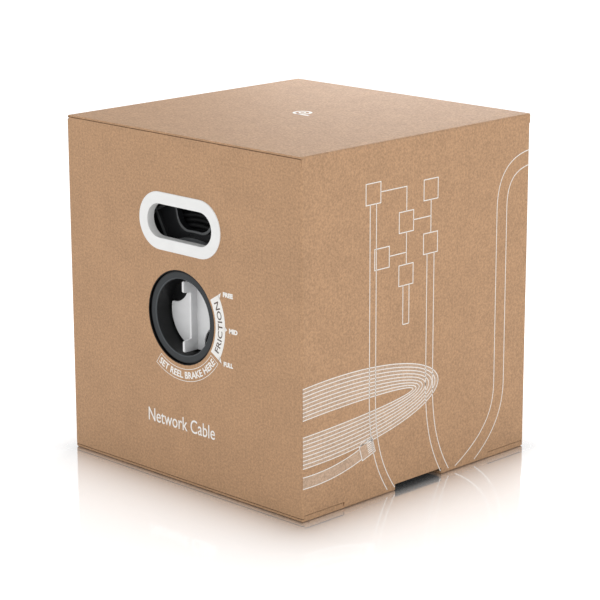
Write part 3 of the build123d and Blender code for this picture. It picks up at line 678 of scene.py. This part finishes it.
def make_creases(mats):
    proud, r, lap = CREASE_PROUD, FOLD_R, CREASE_LAP
    x1, top, under = RIGHT_X, TOP_Z, LID_UNDER_Z

    def along_y(x, z, y):
        return (x, y, z)

    hinge = [(x1 + proud, under - lap), (x1 + proud, under - lap / 2)]
    hinge += fold_arc((x1 - r, top - r), 0, 90, r + proud)
    hinge += [(x1 - r - lap / 2, top + proud), (x1 - r - lap, top + proud)]
    half = lid_high.y - 0.2 * MM
    crease("lid_crease", mats["lid"], hinge, -half, half, along_y)

    half = RIGHT_X - BOARD - 0.1 * MM
    for end, sign in (("front", 1), ("rear", -1)):
        fold = [(FRONT_Y - proud, under - lap), (FRONT_Y - proud, under - BOARD),
                (FRONT_Y - proud, under - 0.4 * MM), (FRONT_Y + 0.4 * MM, under + proud),
                (FRONT_Y + lap / 2, under + proud), (FRONT_Y + lap, under + proud)]
        crease(end + "_dust_crease", mats["flap"], [(y, z) for y, z in reversed(fold)], -half, half,
               lambda y, z, x, sign=sign: (x, sign * y, z))

    flap_x = LEFT_X + BOARD + FIT_GAP
    lean = math.tan(TUCK_LEAN)
    fold = [(lid_low.x - proud, under + 1.2 * MM), (lid_low.x - proud, under + 0.1 * MM),
            (flap_x - proud, under - 1.6 * MM), (flap_x - proud + lap / 2 * lean, under - lap / 2),
            (flap_x - proud + lap * lean, under - lap)]
    for end, low, high in (("front", -TUCK_HALF, -NOTCH_HALF), ("rear", NOTCH_HALF, TUCK_HALF)):
        crease(end + "_tuck_crease", mats["lid"], fold, low + 0.3 * MM, high - 0.3 * MM, along_y)


# ---- Spool ----------------------------------------------------------------------------------------
CABLE_R = 3.05 * MM
TURN_SPACING, LAYER_SPACING = 2.02, 1.86       # in cable radii
SPRING_WIRE_R, SPRING_TURNS = 0.8 * MM, 3


def make_winding(mats):
    """Wound cable: the outer layer's turns side by side, and each layer's last turn at both flanges."""
    low, high = (Vector(c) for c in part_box("cable_winding"))
    outer = (high.z - low.z) / 2
    core_low, core_high = (Vector(c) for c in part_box("core_tube"))
    inner = (core_high.z - core_low.z) / 2
    cable_r, around, section = CABLE_R, 72, 10
    turns = []
    count = int((high.y - low.y) / (TURN_SPACING * cable_r))
    pitch = (high.y - low.y - 2 * cable_r) / (count - 1)
    for i in range(count):
        turns.append((outer - cable_r - random.uniform(0, 0.5) * MM, low.y + cable_r + i * pitch))
    layers = int((outer - inner) / (LAYER_SPACING * cable_r))
    for layer in range(1, layers):
        radius = outer - cable_r - layer * LAYER_SPACING * cable_r
        if radius - cable_r < inner:
            break
        shift = (layer % 2) * 0.55 * cable_r
        for y in (low.y + cable_r + shift, high.y - cable_r - shift):
            turns.append((radius - random.uniform(0, 0.3) * MM, y))
    verts, faces = [], []
    for radius, y in turns:
        start = len(verts)
        phase = random.uniform(0, 2 * math.pi)
        for i in range(around):
            a = 2 * math.pi * i / around
            wander = radius - 0.35 * MM * (1 + math.sin(2 * a + phase))
            for j in range(section):
                b = 2 * math.pi * j / section
                reach = wander + cable_r * math.cos(b)
                verts.append((reach * math.cos(a), y + cable_r * math.sin(b), AXIS_Z + reach * math.sin(a)))
        for i in range(around):
            for j in range(section):
                k, m = (i + 1) % around, (j + 1) % section
                faces.append([start + i * section + j, start + i * section + m,
                              start + k * section + m, start + k * section + j])
    cable = mesh_object("wound_cable", verts, faces, mats["jacket"], "spool")
    for polygon in cable.data.polygons:
        polygon.use_smooth = True
    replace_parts(cable, "cable_winding")


def make_spring(mats):
    """The brake's return spring."""
    low, high = (Vector(c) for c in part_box("return_spring"))
    wire_r, around, section = SPRING_WIRE_R, 96, 10
    coil_r = (high.x - low.x) / 2 - wire_r
    steps = SPRING_TURNS * around
    verts = []
    for i in range(steps + 1):
        a = 2 * math.pi * i / around
        y = low.y + wire_r + (high.y - low.y - 2 * wire_r) * i / steps
        for j in range(section):
            b = 2 * math.pi * j / section
            reach = coil_r + wire_r * math.cos(b)
            verts.append((reach * math.cos(a), y + wire_r * math.sin(b), AXIS_Z - reach * math.sin(a)))
    faces = [list(range(section)), [steps * section + j for j in reversed(range(section))]]
    for i in range(steps):
        for j in range(section):
            k = (j + 1) % section
            faces.append([i * section + k, i * section + j, (i + 1) * section + j, (i + 1) * section + k])
    spring = mesh_object("spring_coil", verts, faces, mats["spring"], "carton")
    for polygon in spring.data.polygons:
        polygon.use_smooth = len(polygon.vertices) == 4
    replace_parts(spring, "return_spring")
    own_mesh(spring)


# ---- Drawing on the right wall and the lid, in mm ---------------------------------------------------
LINE = 1.0
NEAR_EDGE = 0.6          # how near a line may come to the wall's front and back edges
BOX_SIZE = 21.5
CABLE_HALF, WIDE_CABLE_HALF, RUN_HALF = 4.6, 5.4, 8
COIL_TURNS, COIL_RISE = 9, 0.045
COIL_CENTRE = (34.0, 97.0)
COIL_REACH, COIL_REACH_STEP = 128.0, 4.9
COIL_DEPTH, COIL_DEPTH_STEP = 9.0, 4.1
TAIL_HALF = 6.0
PLUG_LENGTH, PLUG_HALF = 20, 8
SIGN_CENTRE, SIGN_R, SIGN_HUB_R, SIGN_LINE, SIGN_HUB_LINE = (-2.0, 8.0), 9.0, 3.2, 3.0, 2.0


def bezier(a, b, c, d, steps=24):
    points = []
    for i in range(steps + 1):
        t = i / steps
        weights = ((1 - t) ** 3, 3 * t * (1 - t) ** 2, 3 * t * t * (1 - t), t ** 3)
        points.append(tuple(sum(w * p[k] for w, p in zip(weights, (a, b, c, d))) for k in (0, 1)))
    return points


def parallel(points, offset):
    """The line at a given distance to the left of a flat line."""
    moved = []
    for i, point in enumerate(points):
        a, b = Vector(points[max(i - 1, 0)]), Vector(points[min(i + 1, len(points) - 1)])
        along = (b - a).normalized()
        moved.append((point[0] - along.y * offset, point[1] + along.x * offset))
    return moved


def within_wall(points):
    """The part of a line that lies on the wall, ended where the line crosses the wall's edges."""
    low, high = (NEAR_EDGE, 4.0), ((BACK_Y - FRONT_Y) / MM - NEAR_EDGE, TOP_Z / MM - 5)

    def inside(point):
        return all(low[k] <= point[k] <= high[k] for k in (0, 1))

    kept = []
    for a, b in zip(points, points[1:]):
        if inside(a) and (not kept or kept[-1] != a):
            kept.append(a)
        if inside(a) != inside(b):
            near, far = (a, b) if inside(a) else (b, a)
            shares = [(limit[k] - near[k]) / (far[k] - near[k]) for k in (0, 1) for limit in (low, high)
                      if (far[k] - near[k]) * (limit[k] - near[k]) > 0]
            t = min(shares)
            kept.append(tuple(near[k] + t * (far[k] - near[k]) for k in (0, 1)))
    if inside(points[-1]):
        kept.append(points[-1])
    return kept


def square(u, v):
    return [(u, v), (u + BOX_SIZE, v), (u + BOX_SIZE, v + BOX_SIZE), (u, v + BOX_SIZE)]


def print_right(mats):
    """A plain network diagram: boxes joined by lines, cables running down from them, and a coil."""
    lines = Builder(on_right)
    tint = Builder(on_right)

    def line(points, closed=False):
        kept = points if closed else within_wall(points)
        lines.stroke(kept, LINE, INK_LOW, INK_HIGH, closed)

    for u, v in ((90, 308), (139, 272), (139, 217), (176, 244), (176, 300), (103, 240)):
        line(square(u, v), closed=True)
    for route in (((111.5, 319), (150, 319), (150, 293.5)), ((160.5, 283), (187, 283), (187, 265.5)),
                  ((187, 283), (187, 300)), ((150, 272), (150, 238.5)), ((124.5, 251), (150, 251))):
        line(list(route))

    for u_top, v_top, u_end, half in ((100.75, 308, 131, CABLE_HALF), (187, 244, 214, WIDE_CABLE_HALF)):
        drop = [(u_top, v_top), (u_top, 165)]
        drop += bezier((u_top, 110), (u_top, 60), (u_top + 8, 30), (u_end + 6, -6))
        for side in (-half, half):
            line(parallel(drop, side))
    for side in (-CABLE_HALF, CABLE_HALF):
        line(parallel([(150, 217), (150, 176)], side))
    line([(150 - CABLE_HALF, 176), (150 + CABLE_HALF, 176)])

    run = bezier((352, 323), (318, 321), (300, 308), (300, 272)) + [(300, 200), (300, 140)]
    run += bezier((300, 84), (300, 46), (280, 18), (220, -10))
    for side in (-RUN_HALF, RUN_HALF):
        line(parallel(run, side))

    middle_u, middle_v = COIL_CENTRE

    def coil_point(k, s):
        """Turn k of the coil, from s = -1 to 1 round its far end, cut off at the wall's front edge."""
        a, b = COIL_REACH + COIL_REACH_STEP * k, COIL_DEPTH + COIL_DEPTH_STEP * k
        t = s * math.acos(-(middle_u - NEAR_EDGE) / a)
        u = middle_u + a * math.cos(t)
        return (u, middle_v + b * math.sin(t) + COIL_RISE * u)

    steps = [i / 40 - 1 for i in range(81)]
    for k in range(COIL_TURNS):
        line([coil_point(k, s) for s in steps])
    inner, outer = ([coil_point(k, s) for s in steps] for k in (0, COIL_TURNS - 1))
    tint.strip(inner, outer, INK_LOW, INK_HIGH / 2)

    tail = bezier((NEAR_EDGE, 41.0), (30, 40), (56, 43), (84, 52), 20)
    upper, lower = parallel(tail, TAIL_HALF), parallel(tail, -TAIL_HALF)
    upper[0], lower[0] = (NEAR_EDGE, upper[0][1]), (NEAR_EDGE, lower[0][1])
    line(upper)
    line(lower)
    tint.strip(upper, lower, INK_LOW, INK_HIGH / 2)
    along = (Vector(tail[-1]) - Vector(tail[-2])).normalized()
    side = Vector((-along.y, along.x))
    end = Vector(tail[-1])

    def plug_point(forward, up):
        return tuple(end + along * forward + side * up)

    body = [plug_point(0, -PLUG_HALF), plug_point(PLUG_LENGTH, -PLUG_HALF),
            plug_point(PLUG_LENGTH, PLUG_HALF), plug_point(0, PLUG_HALF)]
    line(body, closed=True)
    tint.prism(body, INK_LOW, INK_HIGH / 2)
    for up in (-5.25, -3.15, -1.05, 1.05, 3.15, 5.25):
        line([plug_point(10.5, up), plug_point(PLUG_LENGTH, up)])
    line([plug_point(3, PLUG_HALF), plug_point(3, 10.5), plug_point(12, 10.5), plug_point(14, PLUG_HALF)])

    tint.finish("wall_drawing_tint", mats["tint"], "carton")
    lines.finish("wall_drawing", mats["line"], "carton")


def print_lid(mats):
    """A plain reel sign: a ring, a smaller ring in it and the cable's end leaving at a tangent."""
    sign = Builder(on_top)
    u0, v0 = SIGN_CENTRE

    def circle(radius, steps):
        angles = [2 * math.pi * i / steps for i in range(steps)]
        return [(u0 + radius * math.cos(t), v0 + radius * math.sin(t)) for t in angles]

    sign.stroke(circle(SIGN_R, 48), SIGN_LINE, INK_LOW, INK_HIGH, closed=True)
    sign.stroke(circle(SIGN_HUB_R, 32), SIGN_HUB_LINE, INK_LOW, INK_HIGH, closed=True)
    sign.stroke([(u0, v0 - SIGN_R), (u0 + 2 * SIGN_R, v0 - SIGN_R)], SIGN_LINE, INK_LOW, INK_HIGH)
    sign.finish("lid_sign", mats["ink"], "lid")


# ---- Stage ----------------------------------------------------------------------------------------
FLOOR_HALF, FLOOR_DROP = 12.0, 0.2 * MM
POLISH, POLISH_REACH = 0.88, 0.052       # the floor mirrors the box most beside it
FLOOR_GLOW = 0.46
SKY = {"From Min": 0.1, "From Max": 0.9, "To Min": 1.08, "To Max": 0.64}
# name, place, target, size and power of each area light
LIGHTS = (("key", (1.6, -0.2, 1.7), (0, 0, 0.15), 1.4, 5.5),
          ("fill", (-0.9, -2.0, 1.5), (0, 0, 0.2), 1.6, 2),
          ("back", (-0.6, 3.2, 1.3), (0.1, 0, 0.35), 2.4, 10),
          ("rim", (-0.36, 0.62, 0.53), (0.0, 0.1, 0.37), 0.5, 3.5))


def area_light(name, at, target, size, power):
    data = bpy.data.lights.new(name, "AREA")
    data.shape = "SQUARE"
    data.size = size
    data.energy = power
    lamp = bpy.data.objects.new(name, data)
    scene.collection.objects.link(lamp)
    lamp.location = at
    lamp.visible_camera = False
    lamp.rotation_euler = (Vector(target) - Vector(at)).to_track_quat("-Z", "Y").to_euler()


def add_stage():
    world = bpy.data.worlds.new("studio")
    world.use_nodes = True
    tree = world.node_tree
    heading = tree.nodes.new("ShaderNodeSeparateXYZ")
    tree.links.new(tree.nodes.new("ShaderNodeTexCoord").outputs["Generated"], heading.inputs[0])
    glow = tree.nodes.new("ShaderNodeMapRange")
    tree.links.new(heading.outputs["Z"], glow.inputs["Value"])
    for key, value in SKY.items():
        glow.inputs[key].default_value = value
    tree.nodes["Background"].inputs["Color"].default_value = rgb(1, 1, 1)
    tree.links.new(glow.outputs[0], tree.nodes["Background"].inputs["Strength"])
    scene.world = world
    mesh = bpy.data.meshes.new("floor")
    corners = [(x * FLOOR_HALF, y * FLOOR_HALF, 0) for x, y in ((-1, -1), (1, -1), (1, 1), (-1, 1))]
    mesh.from_pydata(corners, [], [(0, 1, 2, 3)])
    floor = bpy.data.objects.new("floor", mesh)
    scene.collection.objects.link(floor)
    s = Shader("floor")
    x, y, _ = s.xyz(s.place)
    beyond = [s.math("MAXIMUM", s.math("SUBTRACT", s.math("ABSOLUTE", axis), edge), 0.0)
              for axis, edge in ((x, RIGHT_X), (y, BACK_Y))]
    away = s.math("SQRT", s.math("ADD", s.math("POWER", beyond[0], 2.0), s.math("POWER", beyond[1], 2.0)))
    polish = s.math("MULTIPLY", s.math("EXPONENT", s.math("DIVIDE", away, -POLISH_REACH)), POLISH)
    s.set(Base_Color=rgb(0.86, 0.86, 0.86), Metallic=polish, Roughness=0.06, Specular_IOR_Level=0.3,
          Emission_Color=rgb(1, 1, 1), Emission_Strength=s.ramp(polish, 0.0, 0.9, FLOOR_GLOW, 0.0))
    mesh.materials.append(s.material)
    floor.location.z = -FLOOR_DROP
    for light in LIGHTS:
        area_light(*light)


def main():
    scene.view_settings.view_transform = "Standard"
    add_camera()
    mats = make_materials()
    dress_cad(mats)
    make_lid(mats)
    make_tuck(mats)
    make_dust_flaps(mats)
    make_creases(mats)
    make_winding(mats)
    make_spring(mats)
    print_front(mats)
    print_right(mats)
    print_lid(mats)
    add_stage()


main()
